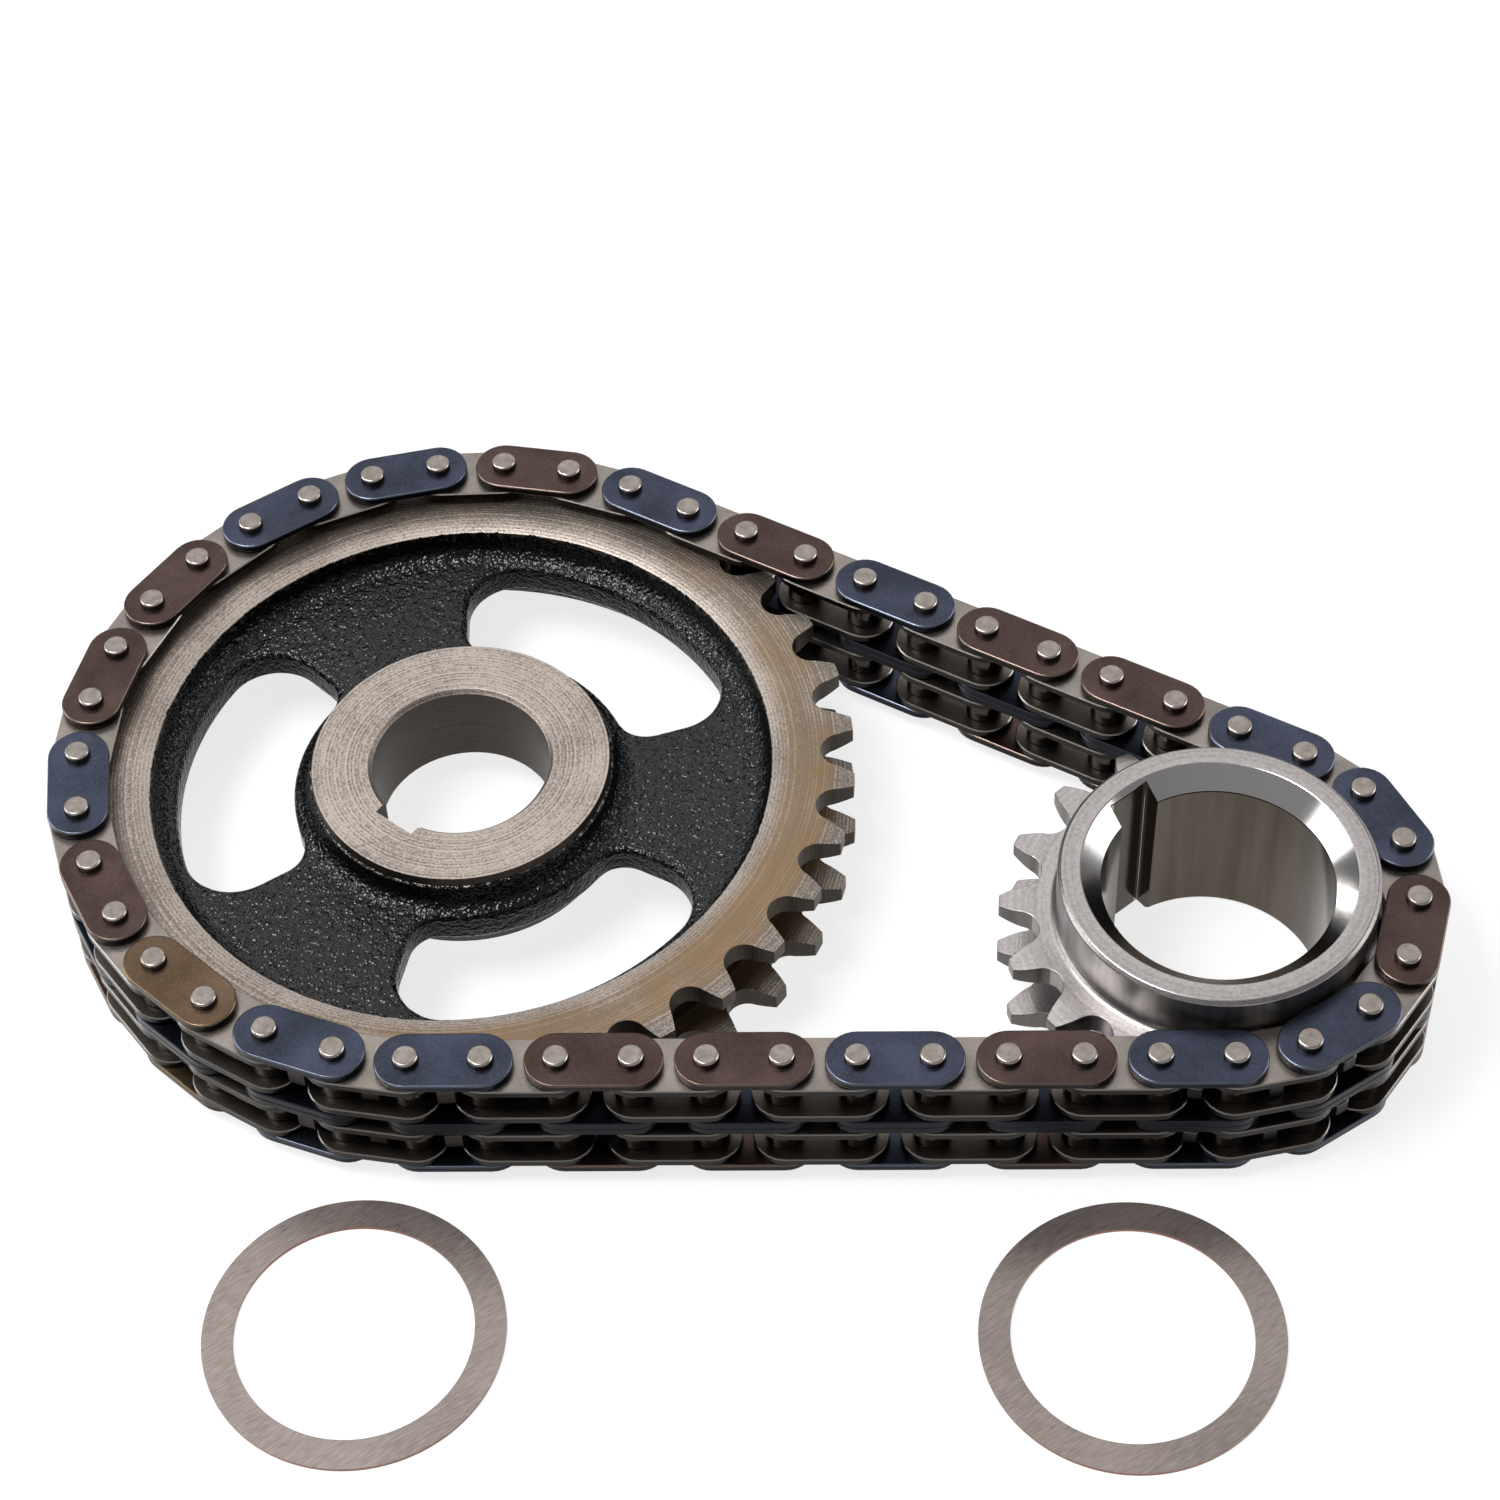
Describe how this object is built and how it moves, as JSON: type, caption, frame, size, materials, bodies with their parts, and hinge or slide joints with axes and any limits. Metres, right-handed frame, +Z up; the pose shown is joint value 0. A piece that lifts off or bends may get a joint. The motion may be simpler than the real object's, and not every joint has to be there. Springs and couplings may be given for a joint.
{
  "type": "timing chain kit",
  "caption": "Duplex roller timing chain round a spoked cast cam sprocket and a keyed crank sprocket, with loose shim rings, laid flat.",
  "frame": {"origin": "on the cam sprocket's axis, in the middle of the chain's width", "axes": "+X from the cam sprocket's axis to the crank sprocket's, +Z up along both axes; the bench is at z = -12.55 mm"},
  "size_m": [0.189, 0.1531, 0.0268],
  "materials": {
    "cast_iron": "black paint on the cast web, machined on rim, teeth and hub faces",
    "turned_steel": "bright turned",
    "shim_steel": "ground flat",
    "pin_steel": "bright, tumbled ends",
    "bush_steel": "hardened",
    "roller_steel": "hardened, smooth",
    "plate_steel": "satin grey",
    "blued_steel": "heat blued, satin",
    "browned_steel": "heat browned, satin",
    "bronzed_steel": "straw bronze temper colour, satin"
  },
  "bodies": {
    "bench_shims": {"shim_left": "shim_steel", "shim_right": "shim_steel"},
    "cam_drive": {"cam_sprocket": "cast_iron", "cam_wrap_bushes": "bush_steel", "cam_wrap_centre_plates": "blued_steel", "cam_wrap_inner_plates": "plate_steel", "cam_wrap_outer_plates_blue": "blued_steel", "cam_wrap_outer_plates_bronze": "bronzed_steel", "cam_wrap_outer_plates_brown": "browned_steel", "cam_wrap_pins": "pin_steel", "cam_wrap_rollers": "roller_steel"},
    "crank_drive": {"crank_sprocket": "turned_steel", "crank_wrap_bushes": "bush_steel", "crank_wrap_centre_plates": "blued_steel", "crank_wrap_inner_plates": "plate_steel", "crank_wrap_outer_plates_blue": "blued_steel", "crank_wrap_outer_plates_brown": "browned_steel", "crank_wrap_pins": "pin_steel", "crank_wrap_rollers": "roller_steel"},
    "top_cam_link": {"top_cam_link_centre_plates": "blued_steel", "top_cam_link_outer_plates": "blued_steel", "top_cam_link_pins": "pin_steel"},
    "top_span": {"top_span_bushes": "bush_steel", "top_span_centre_plates": "blued_steel", "top_span_inner_plates": "plate_steel", "top_span_outer_plates_blue": "blued_steel", "top_span_outer_plates_brown": "browned_steel", "top_span_pins": "pin_steel", "top_span_rollers": "roller_steel"},
    "top_crank_link": {"top_crank_link_centre_plates": "blued_steel", "top_crank_link_outer_plates": "blued_steel", "top_crank_link_pins": "pin_steel"},
    "bottom_cam_link": {"bottom_cam_link_centre_plates": "blued_steel", "bottom_cam_link_outer_plates": "blued_steel", "bottom_cam_link_pins": "pin_steel"},
    "bottom_span": {"bottom_span_bushes": "bush_steel", "bottom_span_centre_plates": "blued_steel", "bottom_span_inner_plates": "plate_steel", "bottom_span_outer_plates_blue": "blued_steel", "bottom_span_outer_plates_brown": "browned_steel", "bottom_span_pins": "pin_steel", "bottom_span_rollers": "roller_steel"},
    "bottom_crank_link": {"bottom_crank_link_centre_plates": "blued_steel", "bottom_crank_link_outer_plates": "blued_steel", "bottom_crank_link_pins": "pin_steel"}
  },
  "joints": [
    {"name": "cam_spin", "type": "hinge", "parent": "bench_shims", "child": "cam_drive", "pos_m": [0, 0, 0], "axis": [0, 0, 1], "range_deg": [-5.29, 5.29]},
    {"name": "crank_spin", "type": "hinge", "parent": "bench_shims", "child": "crank_drive", "pos_m": [0.10394, 0, 0], "axis": [0, 0, 1], "range_deg": [-10.59, 10.59]},
    {"name": "top_cam_link_pivot", "type": "hinge", "parent": "cam_drive", "child": "top_cam_link", "pos_m": [0.00948, 0.05074, 0], "axis": [0, 0, 1], "range_deg": [-1.2, 1.2]},
    {"name": "top_span_pivot", "type": "hinge", "parent": "top_cam_link", "child": "top_span", "pos_m": [0.01872, 0.04839, 0], "axis": [0, 0, 1], "range_deg": [-4.5, 4.5]},
    {"name": "top_crank_link_pivot", "type": "hinge", "parent": "top_span", "child": "top_crank_link", "pos_m": [0.1018, 0.02728, 0], "axis": [0, 0, 1], "range_deg": [-1.1, 1.1]},
    {"name": "bottom_cam_link_pivot", "type": "hinge", "parent": "cam_drive", "child": "bottom_cam_link", "pos_m": [0.00948, -0.05074, 0], "axis": [0, 0, 1], "range_deg": [-1.2, 1.2]},
    {"name": "bottom_span_pivot", "type": "hinge", "parent": "bottom_cam_link", "child": "bottom_span", "pos_m": [0.01872, -0.04839, 0], "axis": [0, 0, 1], "range_deg": [-4.5, 4.5]},
    {"name": "bottom_crank_link_pivot", "type": "hinge", "parent": "bottom_span", "child": "bottom_crank_link", "pos_m": [0.1018, -0.02728, 0], "axis": [0, 0, 1], "range_deg": [-1.1, 1.1]}
  ],
  "couplings": [
    {"joint": "crank_spin", "follows": "cam_spin", "ratio": 2},
    {"joint": "top_cam_link_pivot", "follows": "cam_spin", "ratio": -0.2173},
    {"joint": "top_span_pivot", "follows": "cam_spin", "ratio": -0.8303},
    {"joint": "top_crank_link_pivot", "follows": "cam_spin", "ratio": 0.1941},
    {"joint": "bottom_cam_link_pivot", "follows": "cam_spin", "ratio": -0.2173},
    {"joint": "bottom_span_pivot", "follows": "cam_spin", "ratio": -0.8303},
    {"joint": "bottom_crank_link_pivot", "follows": "cam_spin", "ratio": 0.1941}
  ]
}
